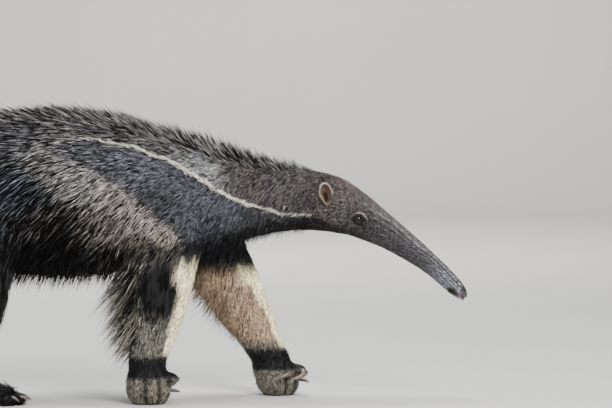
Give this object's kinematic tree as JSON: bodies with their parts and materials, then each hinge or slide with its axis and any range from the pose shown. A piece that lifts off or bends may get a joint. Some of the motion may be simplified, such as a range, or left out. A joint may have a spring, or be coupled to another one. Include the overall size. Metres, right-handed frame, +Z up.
{
  "type": "giant anteater",
  "caption": "Life-size giant anteater in mid stride with its long snout lowered, coarse bristly coat, mane along the neck and back, and long-haired tail.",
  "frame": {"origin": "on the floor below the middle of the animal's bounding box", "axes": "+X forward towards the nose, +Y to the animal's left, +Z up; the soles stand at Z = 0"},
  "size_m": [1.8474, 0.286, 0.5669],
  "materials": {
    "dark_coat": "coarse dark brown and black hair, matte",
    "grizzled_coat": "coarse grizzled brown-grey hair, matte",
    "pale_coat": "coarse cream and tan hair, matte",
    "snout": "short grey-brown hair over wrinkled skin",
    "horn": "dark polished horn",
    "eye": "glossy near-black eye"
  },
  "bodies": {
    "root": {"head": "snout", "neck": "grizzled_coat", "torso": "dark_coat", "tail": "dark_coat", "ear_right": "snout", "eye_right": "eye", "foreleg_right": "pale_coat", "forefoot_right": "pale_coat", "hindleg_right": "dark_coat", "hindfoot_right": "dark_coat", "claw_fore_right_large": "horn", "claw_fore_right_middle": "horn", "claw_fore_right_small": "horn", "claw_hind_right_1": "horn", "claw_hind_right_2": "horn", "claw_hind_right_3": "horn", "claw_hind_right_4": "horn", "claw_hind_right_5": "horn", "ear_left": "snout", "eye_left": "eye", "foreleg_left": "pale_coat", "forefoot_left": "pale_coat", "hindleg_left": "dark_coat", "hindfoot_left": "dark_coat", "claw_fore_left_large": "horn", "claw_fore_left_middle": "horn", "claw_fore_left_small": "horn", "claw_hind_left_1": "horn", "claw_hind_left_2": "horn", "claw_hind_left_3": "horn", "claw_hind_left_4": "horn", "claw_hind_left_5": "horn"}
  },
  "joints": []
}
